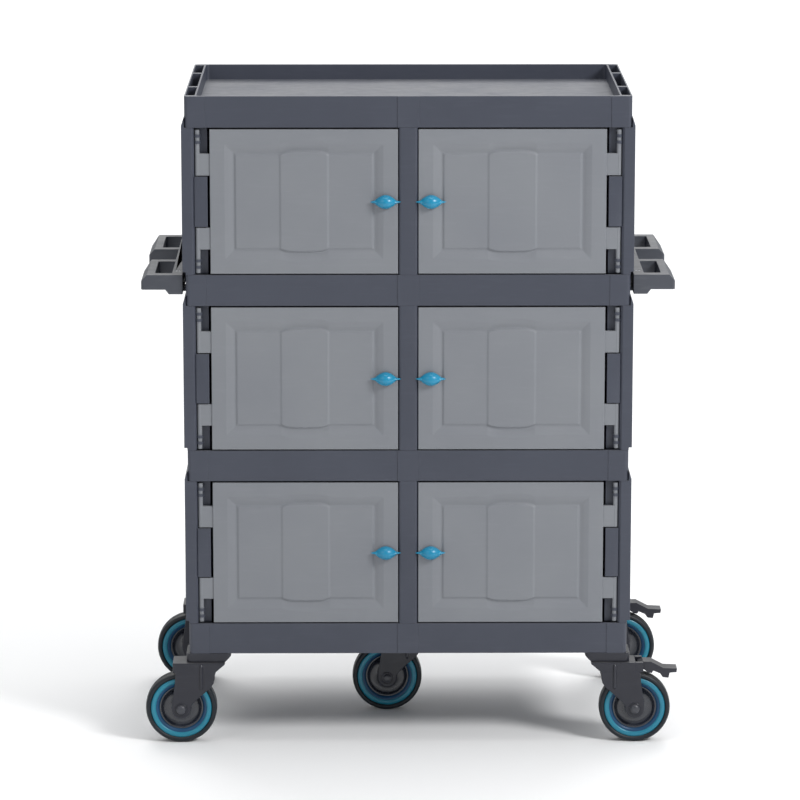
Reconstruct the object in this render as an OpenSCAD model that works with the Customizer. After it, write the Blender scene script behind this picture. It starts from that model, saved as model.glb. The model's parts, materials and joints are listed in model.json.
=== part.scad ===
// Housekeeping cart: four stacked trays, three rows of two cupboards, push handles and five castors.
// Millimetres. +X is the cart's right seen from the front, +Y is to its back, +Z is up.
// The origin is on the floor, under the middle of the cart.

/* [Trays] */
// Width over the trays
tray_w = 765; // [600:1:1100]
// Depth of the trays, front to back
tray_d = 450; // [380:1:640]
// Height of one tray, from its underside to its rim
tray_h = 54; // [46:1:80]
// Depth of the recess in the top of a tray
recess_h = 27; // [15:1:36]
// Thickness of a tray's floor
floor_t = 4; // [3:0.5:6]
// Thickness of the front and back rims
end_rim = 8; // [6:0.5:14]
// Width of the rim along each side, which holds the sockets
side_rim = 21; // [20:0.5:40]
// Radius of a tray's upright corners
tray_corner = 7; // [3:0.5:12]
// How far the front bar lies back between its corner blocks
bar_set = 1; // [0.5:0.5:3]
// Thickness of the ribs under a floor
rib_t = 3; // [2:0.5:5]
// Height of those ribs
rib_h = 6; // [4:1:14]
// How far a corner block reaches inwards past the side panel
corner_in = 19; // [10:1:30]

/* [Cupboards] */
// Clear height of one row, from a tray's rim to the tray above
row_h = 255; // [200:1:420]
// Thickness of a side panel
panel_t = 22; // [18:0.5:30]
// How far a side panel stands proud of the trays
panel_proud = 5.5; // [3:0.5:8]
// Wall thickness of the hollow side panels
panel_wall = 3.5; // [2.5:0.5:5]
// Height of the lip that overlaps the tray above
lip_h = 17; // [8:1:24]
// Width of the sockets in a tray's side rim
socket_w = 15; // [10:0.5:18]
// Depth of the sockets
socket_h = 30; // [20:1:36]
// Width of the ribs between the sockets
socket_rib = 12; // [8:1:24]
// Width of the post and hinge keepers beside each door
post_w = 22.5; // [20:0.5:30]
// Depth of that post, front to back
post_d = 46; // [36:1:80]
// Width of the centre post between two doors
mid_post_w = 33; // [26:1:50]
// Thickness of the partition behind the centre post
partition_t = 12; // [8:1:16]
// Thickness of a back panel
back_t = 5; // [3:0.5:10]
// How far a back panel lies in from the back of the trays
back_set = 8; // [8:1:20]

/* [Doors] */
// Thickness of a door
door_t = 21; // [18:0.5:28]
// How far a door's face lies behind the front bars
door_set = 1; // [0:0.5:3]
// Gap between a door and the centre post
door_mid_gap = 1; // [0.5:0.5:3]
// Gap between a door and the post on its hinge side
door_post_gap = 4; // [2:0.5:6]
// Gap under a door
door_low_gap = 2; // [1:0.5:4]
// Gap over a door
door_top_gap = 3; // [1:0.5:5]
// Thickness of a door's face
door_skin = 4; // [3:0.5:6]
// Thickness of a door's edge
door_edge = 4; // [3:0.5:6]
// Width of the flat border of a door
door_border = 25; // [15:1:40]
// Width of the slope from the border to the groove round the panel
door_slope = 15; // [8:1:25]
// Depth of that groove
groove_h = 3; // [1:0.5:3]
// Width of the groove
groove_w = 5; // [3:0.5:8]
// Rise of the arches over and under the middle third of the panel
arch_rise = 9; // [4:1:20]

/* [Hinges] */
// Diameter of the hinge pins moulded on a door
pin_d = 8; // [6:0.5:10]
// Height of a hinge arm
arm_h = 38; // [20:1:50]
// Thickness of a hinge arm
arm_t = 7; // [5:0.5:8]
// Distance from a door's end to its hinge arm
arm_in = 42; // [35:1:60]
// Height of one keeper on a hinge pin
keeper_h = 5; // [3:0.5:8]
// Distance from a door's end to its first keeper
keeper_in = 9; // [4:1:12]
// Gap between the two keepers of a pin
keeper_gap = 6; // [4:1:10]
// Wall of a keeper beside its pin
keeper_wall = 1.4; // [1.2:0.1:3]

/* [Latches] */
// Length of a latch knob, tip to tip
knob_l = 54; // [40:1:64]
// Height of a knob's body
knob_w = 24; // [16:1:34]
// How far a knob stands out
knob_h = 14; // [10:0.5:20]
// Distance from a door's free edge to the latch
latch_in = 21.5; // [18:0.5:40]
// Diameter of the latch shaft
latch_d = 10; // [8:0.5:14]
// Reach of the cam on the shaft
cam_reach = 28; // [24:0.5:34]
// Thickness of the cam
cam_t = 4; // [3:0.5:6]

/* [Push handles] */
// Length of a push handle, front to back
handle_l = 428; // [340:1:446]
// Length of one of its two loops
loop_l = 160; // [120:1:190]
// How far a handle reaches out from the side panel
handle_reach = 72; // [55:1:100]
// Height of a handle
handle_h = 26; // [22:1:40]
// Width of the strip that fastens a handle
strip_w = 19; // [16:0.5:24]
// Width of the grip bar outside the finger hole
grip_w = 24; // [18:0.5:34]
// Width of the bars in front of and behind the finger hole
loop_bar = 20; // [12:0.5:30]
// Height of the strip below the loops
strip_drop = 8; // [4:1:12]
// Height of a handle's underside above the underside of its tray
handle_up = 26.5; // [20:0.5:30]
// Diameter of the handle screws
screw_d = 5; // [4:0.5:6]

/* [Castors] */
// Diameter of a wheel
wheel_d = 125; // [100:1:160]
// Width of a wheel
wheel_w = 32; // [24:1:44]
// Radial thickness of a tyre
tyre_t = 9; // [5:0.5:12]
// Radial width of the coloured ring
ring_t = 15; // [8:0.5:18]
// Distance from a swivel's axis to its wheel's axle
trail = 36; // [28:1:50]
// Thickness of a fork's cheek
cheek_t = 8; // [5:0.5:10]
// Gap between a wheel and its fork, all round
wheel_gap = 4; // [3:0.5:8]
// Thickness of a fork's crown
crown_t = 17.5; // [14:0.5:24]
// Thickness of a mounting block
block_t = 15; // [12:0.5:20]
// How far a mounting block reaches inwards from the swivel's axis
block_in = 46; // [40:1:60]
// Diameter of the axles
axle_d = 10; // [8:0.5:14]
// Diameter of the kingpins
kingpin_d = 12; // [10:0.5:16]
// Distance from a tray's side to a swivel's axis
swivel_in = 20.5; // [18:0.5:60]
// Distance from a tray's front or back to a swivel's axis
swivel_end = 18; // [18:0.5:60]
// How far a brake pedal reaches past the fork's crown
pedal_l = 60; // [40:1:70]
// Width of a brake pedal
pedal_w = 30; // [20:1:32]

/* [Clearances] */
// Gap between pieces that are fitted together
fit_gap = 0.3; // [0.2:0.05:0.5]
// Radial gap of a shaft in its bore
run_gap = 0.05; // [0.02:0.01:0.1]
// Gap between pieces that move past each other
move_gap = 0.6; // [0.4:0.1:1.5]

/* [Hidden] */
$fn = 64;
eps = 0.01;
body_colour = [0.31, 0.33, 0.38];
door_colour = [0.58, 0.59, 0.62];
cyan_colour = [0.10, 0.62, 0.80];
handle_colour = [0.27, 0.28, 0.30];
castor_colour = [0.22, 0.23, 0.26];
tyre_colour = [0.05, 0.08, 0.12];
steel_colour = [0.62, 0.63, 0.65];

// Heights
wheel_r = wheel_d / 2;
crown_z = wheel_d + wheel_gap;
block_z = crown_z + crown_t + move_gap;
base_z = block_z + block_t;
pitch_z = tray_h + row_h;
function tray_z(i) = base_z + i * pitch_z;
function row_z(r) = tray_z(r) + tray_h;

// Places across the cart
half_w = tray_w / 2;
half_d = tray_d / 2;
panel_out = half_w + panel_proud;
panel_in = panel_out - panel_t;
post_in = panel_in - post_w;
door_out = post_in - door_post_gap;
door_in = mid_post_w / 2 + door_mid_gap;
door_w = door_out - door_in;
door_h = row_h - door_low_gap - door_top_gap;
door_front = -half_d + door_set;
door_back = door_front + door_t;
pin_r = pin_d / 2;
pin_x = panel_in - pin_r - keeper_wall;
pin_set = 1.1;
pin_y = -half_d + pin_r + keeper_wall + pin_set;
pocket_y = pin_y + pin_r + 3;
socket_out = 0.5;
socket_x = half_w - side_rim / 2 + socket_out;
recess_z = tray_h - recess_h;
under_h = recess_z - floor_t;
latch_x = door_in + latch_in;
latch_y = door_back + move_gap;
back_out = half_d - back_set;
mid_back = back_out - back_t;

// Castors: swivel's x and y, side the wheel trails to, and end of the cart it is at (-1 is the front)
swivel_x = half_w - swivel_in;
swivel_y = half_d - swivel_end;
CASTORS = [
    [swivel_x, -swivel_y, 1, -1],
    [swivel_x, swivel_y, 1, 1],
    [-swivel_x, -swivel_y, -1, -1],
    [-swivel_x, swivel_y, -1, 1],
    [0, 0, -1, -1],
];
fork_in = wheel_w / 2 + 2;
fork_out = fork_in + cheek_t;
crown_in = -24;
crown_out = 50;
axle_end = 1.5;
pedal_x = 46;
pedal_z = wheel_d + wheel_gap + 8;
pedal_pin_r = 3.5;
block_l = 52;
crown_nose = 18;
block_side = 26;
screw_r = 3;
screw_head_r = 5.5;
screw_head_h = 4;
pad_screw_h = 16;

// Handles
handle_z = tray_z(2) + handle_up;
handle_top = handle_z + handle_h;
handle_in = panel_out + fit_gap;
handle_out = panel_out + handle_reach;
lug_z = tray_z(2) + lip_h + 2;
lug_t = 8;
lug_y = handle_l / 2 - 44;
lug_l = 28;
LUGS = [-lug_y, 0, lug_y];
LOOPS = [-handle_l / 2, handle_l / 2 - loop_l];
hole_in = handle_in + strip_w;
hole_out = handle_out - grip_w;
lug_out = handle_in + strip_w - 3;
head_h = 3.5;
seat_z = handle_top - head_h - 0.5;
screw_x = handle_in + strip_w / 2;

// ---------- shared shapes ----------

// A box between two corners
module block(a, b) {
    translate(a) cube(b - a);
}

// Flat rectangle with round corners, centred
module round_rect(w, d, r) {
    square([w - 2 * r, d], center = true);
    square([w, d - 2 * r], center = true);
    for (x = [-1, 1], y = [-1, 1])
        translate([x * (w / 2 - r), y * (d / 2 - r)]) circle(r);
}

// Draws its children on the right, or mirrored to the left
module on_side(side) {
    if (side > 0) children();
    else mirror([1, 0, 0]) children();
}

// Turns a flat outline drawn in X and Z into a slab from y0 to y1
module slab_y(y0, y1) {
    translate([0, y1, 0]) rotate([90, 0, 0]) linear_extrude(y1 - y0) children();
}

// A rod along Y between y0 and y1
module rod_y(x, z, r, y0, y1) {
    translate([x, y1, z]) rotate([90, 0, 0]) cylinder(h = y1 - y0, r = r);
}

// ---------- trays ----------

socket_end_wall = 7;
socket_end = half_d - end_rim - socket_end_wall;
socket_mid = tray_d * 0.21;
// Start and end of each socket along Y
SOCKETS = [
    [-socket_end, -socket_mid - socket_rib / 2],
    [-socket_mid + socket_rib / 2, socket_mid - socket_rib / 2],
    [socket_mid + socket_rib / 2, socket_end],
];
// Pegs on a side panel's top, which fit pockets under the tray above
peg_l = socket_rib;
peg_h = 12;
PEGS = [-socket_mid, socket_mid];

module tray_sockets() {
    for (side = [-1, 1]) on_side(side) {
        for (s = SOCKETS)
            block([socket_x - socket_w / 2, s[0], tray_h - socket_h],
                  [socket_x + socket_w / 2, s[1], tray_h + 1]);
        for (y = PEGS)
            block([socket_x - socket_w / 2, y - peg_l / 2 - fit_gap, -1],
                  [socket_x + socket_w / 2, y + peg_l / 2 + fit_gap, peg_h + fit_gap]);
    }
}

// The moulding itself, with its underside at z = 0
module tray() {
    pocket_w = half_w - side_rim - rib_t;
    pocket_d = half_d - end_rim;
    bar_in = mid_post_w / 2 + 2;
    bar_out = panel_in - corner_in;
    rib_z = under_h - rib_h;
    difference() {
        linear_extrude(tray_h) round_rect(tray_w, tray_d, tray_corner);
        // Recess on top
        translate([0, 0, recess_z]) linear_extrude(recess_h + 1)
            round_rect(tray_w - 2 * side_rim, tray_d - 2 * end_rim, tray_corner);
        // Hollow underside
        block([-pocket_w, -pocket_d, -1], [pocket_w, pocket_d, under_h]);
        // The front bar lies back between its corner blocks and its middle block
        for (side = [-1, 1]) on_side(side)
            block([bar_in, -half_d - 1, -1], [bar_out, -half_d + bar_set, tray_h + 1]);
        tray_sockets();
    }
    // Ribs under the floor, along and across
    for (y = [-socket_mid, 0, socket_mid])
        block([-pocket_w - eps, y - rib_t / 2, rib_z], [pocket_w + eps, y + rib_t / 2, under_h + eps]);
    for (i = [-3 : 3])
        block([i * pocket_w / 4 - rib_t / 2, -pocket_d - eps, rib_z],
              [i * pocket_w / 4 + rib_t / 2, pocket_d + eps, under_h + eps]);
}

// Lugs on the upper shelf's sides, which carry the handles
module handle_lugs() {
    low = lug_z - tray_z(2);
    for (side = [-1, 1], y = LUGS) on_side(side)
        difference() {
            block([half_w - eps, y - lug_l / 2, low], [lug_out, y + lug_l / 2, low + lug_t]);
            translate([screw_x, y, low - 1]) cylinder(h = lug_t + 2, r = screw_d / 2);
        }
}

// Solid pads in the base tray, which take the castor screws
module castor_pads() {
    for (c = CASTORS) {
        outer = c[0] == 0 ? block_side + 4 : swivel_in - side_rim - rib_t + 1;
        at_castor(c)
            block([-block_l, -swivel_end + end_rim - 1, 0], [outer, block_in + 2, under_h + eps]);
    }
}

module base_tray() {
    color(body_colour) translate([0, 0, tray_z(0)])
        difference() {
            union() {
                tray();
                castor_pads();
            }
            for (c = CASTORS) at_castor(c) at_block_screws()
                translate([0, 0, -1]) cylinder(h = pad_screw_h + 1, r = screw_r);
        }
}

module lower_shelf() {
    color(body_colour) translate([0, 0, tray_z(1)]) tray();
}

module upper_shelf() {
    color(body_colour) translate([0, 0, tray_z(2)]) {
        tray();
        handle_lugs();
    }
}

module top_tray() {
    color(body_colour) translate([0, 0, tray_z(3)]) tray();
}

// ---------- side panels, back panels and centre posts ----------

// Upright section of a side panel, in X and Z, from the rim of the tray below
module panel_section() {
    lip_in = half_w + fit_gap;
    lip_edge = 0.8;
    foot_h = 5;
    slope_z = row_h + 3;
    polygon([
        [panel_in, 0], [half_w, 0], [half_w, foot_h], [panel_out, foot_h],
        [panel_out, slope_z], [lip_in + lip_edge, row_h + lip_h], [lip_in, row_h + lip_h],
        [lip_in, row_h], [panel_in, row_h],
    ]);
}

// Outline of the panel and its hinge post seen from above
module panel_plan() {
    chamfer = 4;
    polygon([
        [panel_in + chamfer, -half_d], [panel_out, -half_d], [panel_out, half_d],
        [panel_in, half_d], [panel_in, -half_d + chamfer],
    ]);
}

// Post beside the doors; it is cut back where the hinge arms and pins are
module hinge_post() {
    post_front = -half_d + bar_set;
    // Pockets behind the pins and their arms
    pocket_h = arm_in + arm_h + 1.5;
    low_end = door_low_gap + pocket_h;
    high_end = door_low_gap + door_h - pocket_h;
    difference() {
        block([post_in, post_front, 0], [panel_in + eps, post_front + post_d, row_h]);
        block([post_in - 1, post_front - 1, -1], [panel_in + 1, pocket_y, low_end]);
        block([post_in - 1, post_front - 1, high_end], [panel_in + 1, pocket_y, row_h + 1]);
    }
}

module side_panel() {
    cavity_in = panel_in + panel_wall;
    cavity_out = panel_out - 2 * panel_wall;
    difference() {
        intersection() {
            slab_y(-half_d, half_d) panel_section();
            translate([0, 0, -1]) linear_extrude(row_h + lip_h + 2) panel_plan();
        }
        // Hollow between the walls, open at the top under the next tray
        for (s = SOCKETS)
            block([cavity_in, s[0], panel_wall], [cavity_out, s[1], row_h + 1]);
    }
    hinge_post();
    tongue_w = socket_w / 2 - fit_gap;
    // Tongues in the sockets of the tray below
    for (s = SOCKETS)
        block([socket_x - tongue_w, s[0] + fit_gap, -socket_h + 2],
              [socket_x + tongue_w, s[1] - fit_gap, eps]);
    // Pegs in the pockets of the tray above
    for (y = PEGS)
        block([socket_x - tongue_w, y - peg_l / 2, row_h - eps],
              [socket_x + tongue_w, y + peg_l / 2, row_h + peg_h]);
}

module side_panels(side) {
    color(body_colour)
        for (r = [0 : 2]) translate([0, 0, row_z(r)]) on_side(side) side_panel();
}

module side_panels_left() { side_panels(-1); }
module side_panels_right() { side_panels(1); }

// A back panel with three shallow fields on its outer face. Its lower edge stands on the floor
// of the tray below and its upper edge reaches into the tray above.
module back_panels() {
    half = panel_in - fit_gap;
    edge_half = half_w - side_rim - rib_t - tray_corner;
    frame_w = 18;
    field_w = (2 * half - 4 * frame_w) / 3;
    color(body_colour)
        for (r = [0 : 2]) translate([0, 0, row_z(r)])
            difference() {
                union() {
                    block([-half, mid_back, fit_gap], [half, back_out - fit_gap, row_h - fit_gap]);
                    block([-edge_half, mid_back, -recess_h],
                          [edge_half, back_out - fit_gap, row_h + 5]);
                }
                for (i = [-1, 0, 1])
                    translate([i * (field_w + frame_w), 0, 0])
                        block([-field_w / 2, back_out - fit_gap - 1.5, frame_w],
                              [field_w / 2, back_out + 1, row_h - frame_w]);
            }
}

// Post between two doors, with the partition behind it
module centre_posts() {
    post_r = 5;
    color(body_colour)
        for (r = [0 : 2]) translate([0, 0, row_z(r)]) {
            linear_extrude(row_h) {
                translate([0, -half_d + door_t / 2 + post_r / 2])
                    square([mid_post_w, door_t - post_r], center = true);
                translate([0, -half_d + post_r])
                    square([mid_post_w - 2 * post_r, 2 * post_r], center = true);
                for (x = [-1, 1])
                    translate([x * (mid_post_w / 2 - post_r), -half_d + post_r]) circle(post_r);
            }
            block([-partition_t / 2, -half_d + door_t - eps, 0],
                  [partition_t / 2, mid_back - fit_gap, row_h]);
            // The partition stands on the floor of the tray below
            block([-partition_t / 2, -half_d + end_rim + fit_gap, -recess_h],
                  [partition_t / 2, mid_back - fit_gap, eps]);
        }
}

// ---------- doors ----------

// Where keepers sit on the pins, as the low end of each, from the door's underside
first = keeper_in;
second = keeper_in + keeper_h + keeper_gap;
KEEPERS = [first, second, door_h - second - keeper_h, door_h - first - keeper_h];

module hinge_keepers() {
    left = pin_x - pin_r - keeper_wall;
    color(body_colour)
        for (r = [0 : 2], side = [-1, 1], k = KEEPERS)
            on_side(side) translate([0, 0, row_z(r) + door_low_gap + k])
                difference() {
                    block([left, pin_y, 0], [panel_in, pocket_y, keeper_h]);
                    translate([pin_x, pin_y, -1]) cylinder(h = keeper_h + 2, r = pin_r + run_gap);
                }
    color(body_colour)
        for (r = [0 : 2], side = [-1, 1], k = KEEPERS)
            on_side(side) translate([pin_x, pin_y, row_z(r) + door_low_gap + k])
                difference() {
                    cylinder(h = keeper_h, r = pin_r + keeper_wall);
                    translate([0, 0, -1]) cylinder(h = keeper_h + 2, r = pin_r + run_gap);
                }
}

panel_w = door_w - 2 * (door_border + door_slope);
third_half = panel_w * 0.17;

// Outline of the door's panel in X and Z, grown by g: a rectangle whose middle third is arched at the
// top and bottom
module panel_outline(g) {
    in = door_border + door_slope - g;
    mid_x = (door_in + door_out) / 2;
    arch_r = (third_half * third_half + arch_rise * arch_rise) / (2 * arch_rise);
    arch_z = door_h / 2 - in - g + arch_rise - arch_r;
    translate([door_in + in, in]) square([door_w - 2 * in, door_h - 2 * in]);
    translate([mid_x, door_h / 2])
        for (s = [0, 1]) mirror([0, s])
            intersection() {
                translate([0, arch_z]) circle(arch_r + g, $fn = 128);
                translate([-third_half - 2 * g, door_h / 2 - in - 1])
                    square([2 * third_half + 4 * g, arch_rise + g + 2]);
            }
}

// The middle third of the field, a little raised
module middle_outline() {
    mid_x = (door_in + door_out) / 2;
    intersection() {
        panel_outline(-groove_w);
        translate([mid_x - third_half, 0]) square([2 * third_half, door_h]);
    }
}

// One door on the right side, with its underside at z = 0
module door_leaf() {
    rise = 1;
    steps = 3;
    rib_back = door_back - 6;
    boss_wall = 5;
    difference() {
        block([door_in, door_front, 0], [door_out, door_back, door_h]);
        // Slope down to the groove, in steps
        for (i = [0 : steps - 1])
            slab_y(door_front - 1, door_front + groove_h * (i + 1) / steps)
                panel_outline(door_slope * (1 - i / steps));
        // Hollow back, with ribs
        difference() {
            block([door_in + door_edge, door_front + groove_h + door_skin, door_edge],
                  [door_out - door_edge, door_back + 1, door_h - door_edge]);
            for (x = [1, 2, 3] * (door_w / 4))
                translate([door_in + x, 0, 0])
                    block([-rib_t / 2, door_front, 0], [rib_t / 2, rib_back, door_h]);
            for (z = [0.3, 0.7] * door_h)
                block([door_in, door_front, z - rib_t / 2], [door_out, rib_back, z + rib_t / 2]);
            rod_y(latch_x, door_h / 2, latch_d / 2 + boss_wall, door_front, door_back);
        }
        rod_y(latch_x, door_h / 2, latch_d / 2 + run_gap, door_front - 1, door_back + 1);
    }
    // Field inside the groove, and its raised middle third
    slab_y(door_front + groove_h - rise, door_front + groove_h + eps) panel_outline(-groove_w);
    slab_y(door_front + groove_h - 2 * rise, door_front + groove_h) middle_outline();
    for (z = [arm_in, door_h - arm_in - arm_h]) {
        block([door_out - eps, pin_y - arm_t / 2, z], [pin_x, pin_y + arm_t / 2, z + arm_h]);
        translate([pin_x, pin_y, z]) cylinder(h = arm_h, r = pin_r);
    }
    // Pins from the arms to the ends of the door
    translate([pin_x, pin_y, 1]) cylinder(h = arm_in, r = pin_r);
    translate([pin_x, pin_y, door_h - arm_in - 1]) cylinder(h = arm_in, r = pin_r);
}

module door(row, side) {
    color(door_colour) translate([0, 0, row_z(row) + door_low_gap]) on_side(side) door_leaf();
}

module door_top_left() { door(2, -1); }
module door_top_right() { door(2, 1); }
module door_middle_left() { door(1, -1); }
module door_middle_right() { door(1, 1); }
module door_bottom_left() { door(0, -1); }
module door_bottom_right() { door(0, 1); }

// ---------- latches ----------

// A pointed oval, wide along X and tall along Z
module pointed_oval(l, w) {
    r = (l * l / 4 + w * w / 4) / w;
    intersection() {
        translate([0, r - w / 2]) circle(r, $fn = 128);
        translate([0, w / 2 - r]) circle(r, $fn = 128);
    }
}

module latch_knob(row, side) {
    z = row_z(row) + door_low_gap + door_h / 2;
    face = -half_d - 1;
    color(cyan_colour) translate([side * latch_x, 0, z]) {
        // Collar on the door's face, knob body and the ridge along it
        rod_y(0, 0, knob_w / 2 - 3, face, door_front - fit_gap);
        slab_y(face - knob_h + 5, face) pointed_oval(knob_l * 0.72, knob_w);
        slab_y(face - knob_h + 3, face) pointed_oval(knob_l, knob_w / 3);
        slab_y(face - knob_h, face) pointed_oval(knob_l * 0.5, knob_w * 0.55);
        // Shaft through the door
        rod_y(0, 0, latch_d / 2, door_front - fit_gap - eps, latch_y);
    }
}

module latch_cam(row, side) {
    z = row_z(row) + door_low_gap + door_h / 2;
    color(steel_colour) translate([side * latch_x, 0, z]) {
        rod_y(0, 0, latch_d / 2 + 3, latch_y, latch_y + cam_t);
        block([-latch_d / 2, latch_y, -cam_reach], [latch_d / 2, latch_y + cam_t, 0]);
    }
}

module latch_knob_top_left() { latch_knob(2, -1); }
module latch_knob_top_right() { latch_knob(2, 1); }
module latch_knob_middle_left() { latch_knob(1, -1); }
module latch_knob_middle_right() { latch_knob(1, 1); }
module latch_knob_bottom_left() { latch_knob(0, -1); }
module latch_knob_bottom_right() { latch_knob(0, 1); }
module latch_cam_top_left() { latch_cam(2, -1); }
module latch_cam_top_right() { latch_cam(2, 1); }
module latch_cam_middle_left() { latch_cam(1, -1); }
module latch_cam_middle_right() { latch_cam(1, 1); }
module latch_cam_bottom_left() { latch_cam(0, -1); }
module latch_cam_bottom_right() { latch_cam(0, 1); }

// ---------- push handles ----------

// Plan of one handle: a strip along the cart and two loops, narrower at their rear ends
module handle_plan() {
    front_corner = 3;
    rear_x = 10;
    rear_y = 56;
    translate([handle_in, -handle_l / 2]) square([strip_w, handle_l]);
    for (front = LOOPS)
        polygon([
            [handle_in, front], [handle_out - front_corner, front], [handle_out, front + front_corner],
            [handle_out, front + loop_l - rear_y], [handle_out - rear_x, front + loop_l],
            [handle_in, front + loop_l],
        ]);
}

// Section of a handle in X and Z, with a sloping outer top edge
module handle_section() {
    slope_x = 10;
    slope_h = 11;
    low = handle_z - strip_drop;
    polygon([
        [handle_in, low], [handle_in + strip_w + 5, low], [handle_in + strip_w + 11, handle_z],
        [handle_out, handle_z], [handle_out, handle_top - slope_h], [handle_out - slope_x, handle_top],
        [handle_in, handle_top],
    ]);
}

module push_handle(side) {
    color(handle_colour) on_side(side)
        difference() {
            intersection() {
                slab_y(-handle_l / 2, handle_l / 2) handle_section();
                translate([0, 0, handle_z - strip_drop - 1])
                    linear_extrude(handle_h + strip_drop + 2) handle_plan();
            }
            // Finger holes
            for (front = LOOPS)
                translate([(hole_in + hole_out) / 2, front + loop_l / 2, handle_z - strip_drop - 1])
                    linear_extrude(handle_h + strip_drop + 2)
                        round_rect(hole_out - hole_in, loop_l - 2 * loop_bar, 4);
            // Pockets over the lugs, and the screw holes with their counterbores
            for (y = LUGS) {
                block([handle_in - 1, y - lug_l / 2 - fit_gap, handle_z - strip_drop - 1],
                      [lug_out + fit_gap, y + lug_l / 2 + fit_gap, lug_z + lug_t]);
                translate([screw_x, y, lug_z]) cylinder(h = handle_top - lug_z, r = screw_d / 2 + fit_gap);
                translate([screw_x, y, seat_z]) cylinder(h = handle_h, r = screw_d + fit_gap);
            }
        }
}

module push_handle_left() { push_handle(-1); }
module push_handle_right() { push_handle(1); }

module handle_screws() {
    color(steel_colour)
        for (side = [-1, 1], y = LUGS) on_side(side) translate([screw_x, y, 0]) {
            translate([0, 0, lug_z]) cylinder(h = seat_z - lug_z + eps, r = screw_d / 2);
            translate([0, 0, seat_z])
                difference() {
                    cylinder(h = head_h, r = screw_d);
                    translate([0, 0, head_h - 2]) cylinder(h = 3, r = 2.4, $fn = 6);
                }
        }
}

// ---------- castors ----------

// Moves a castor to its place. It is drawn with its swivel's axis at x = 0 and y = 0, its wheel
// towards +X and the middle of the cart towards +Y.
module at_castor(c) {
    translate([c[0], c[1], 0]) mirror([0, c[3] > 0 ? 1 : 0, 0]) on_side(c[2]) children();
}

// Places of the four screws of a mounting block
module at_block_screws() {
    for (x = [-block_l + 27, block_side - 16], y = [-swivel_end + 8, block_in - 9])
        translate([x, y, 0]) children();
}

module castor_blocks() {
    block_edge = 5;
    mid_x = (block_side - block_l) / 2;
    mid_y = (block_in - swivel_end) / 2;
    color(castor_colour)
        for (c = CASTORS) at_castor(c)
            difference() {
                intersection() {
                    slab_y(-swivel_end, block_in)
                        polygon([
                            [-block_l, base_z], [-block_l, base_z - block_edge],
                            [crown_in - crown_nose, block_z], [block_side, block_z], [block_side, base_z],
                        ]);
                    translate([mid_x, mid_y, block_z - 1]) linear_extrude(block_t + 2)
                        round_rect(block_side + block_l, block_in + swivel_end, 8);
                }
                translate([0, 0, block_z - 1]) cylinder(h = block_t - 4, r = kingpin_d / 2);
                at_block_screws() translate([0, 0, block_z - 2]) {
                    cylinder(h = block_t + 4, r = screw_r + fit_gap);
                    cylinder(h = screw_head_h + 3, r = screw_head_r + fit_gap);
                }
            }
}

module castor_block_screws() {
    seat = block_z + screw_head_h + 1;
    color(steel_colour)
        for (c = CASTORS) at_castor(c) at_block_screws() {
            translate([0, 0, seat - screw_head_h]) cylinder(h = screw_head_h, r = screw_head_r);
            translate([0, 0, seat - eps]) cylinder(h = base_z + pad_screw_h - 1 - seat, r = screw_r);
        }
}

// The kingpins hang from the blocks and carry the forks
module kingpins() {
    head_r = kingpin_d / 2 + 4;
    color(steel_colour)
        for (c = CASTORS) translate([c[0], c[1], 0]) {
            translate([0, 0, crown_z - move_gap - 4.5]) cylinder(h = 4.5, r = head_r);
            translate([0, 0, crown_z - move_gap - eps])
                cylinder(h = block_z + block_t - 5 - crown_z + move_gap + eps, r = kingpin_d / 2);
        }
}

// Side view of a fork's cheek, in X and Z
module cheek_outline() {
    end_r = 16;
    x = trail;
    polygon([
        [crown_in, crown_z + eps], [crown_in + 3, crown_z - 20], [crown_in + 19, crown_z - 34],
        [x - end_r, wheel_r], [x + end_r, wheel_r],
        [x + end_r - 5, wheel_r + 30], [x + 9, crown_z + eps],
    ]);
    translate([x, wheel_r]) circle(end_r);
}

module fork(i) {
    c = CASTORS[i];
    color(castor_colour) at_castor(c)
        difference() {
            union() {
                // Crown
                intersection() {
                    slab_y(-fork_out, fork_out)
                        polygon([
                            [crown_in - crown_nose, crown_z + crown_t], [crown_in, crown_z],
                            [crown_out, crown_z], [crown_out, crown_z + crown_t],
                        ]);
                    translate([(crown_in - crown_nose + crown_out) / 2, 0, crown_z])
                        linear_extrude(crown_t)
                            round_rect(crown_out - crown_in + crown_nose, 2 * fork_out, 8);
                }
                for (s = [-1, 1]) {
                    y0 = s > 0 ? fork_in : -fork_out;
                    slab_y(y0, y0 + cheek_t) cheek_outline();
                    // Stiffening rib down the cheek, over the swivel's axis
                    y1 = s > 0 ? fork_out - eps : -fork_out - 2;
                    block([-3, y1, crown_z - 30], [3, y1 + 2, crown_z + crown_t - 3]);
                    // Boss round the axle
                    y2 = s > 0 ? fork_out - eps : -fork_out - 1.5;
                    rod_y(trail, wheel_r, 11, y2, y2 + 1.5);
                }
            }
            translate([0, 0, crown_z - 1]) cylinder(h = crown_t + 2, r = kingpin_d / 2 + run_gap);
            rod_y(trail, wheel_r, axle_d / 2, -fork_out - 3, fork_out + 3);
            // Slot and pivot holes for a brake pedal
            block([pedal_x - 9, -pedal_w / 2 - move_gap, crown_z - 1],
                  [crown_out + 1, pedal_w / 2 + move_gap, crown_z + crown_t + 1]);
            rod_y(pedal_x, pedal_z, pedal_pin_r + run_gap, -fork_out + 3, fork_out - 3);
        }
}

module axle(i) {
    c = CASTORS[i];
    end = fork_out + axle_end;
    head_h = 4;
    color(steel_colour) at_castor(c) {
        rod_y(trail, wheel_r, axle_d / 2, -end, end);
        for (s = [-1, 1])
            translate([trail, s > 0 ? end + head_h - eps : -end + eps, wheel_r]) rotate([90, 0, 0])
                cylinder(h = head_h, r = axle_d * 0.8, $fn = 6);
    }
}

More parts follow.
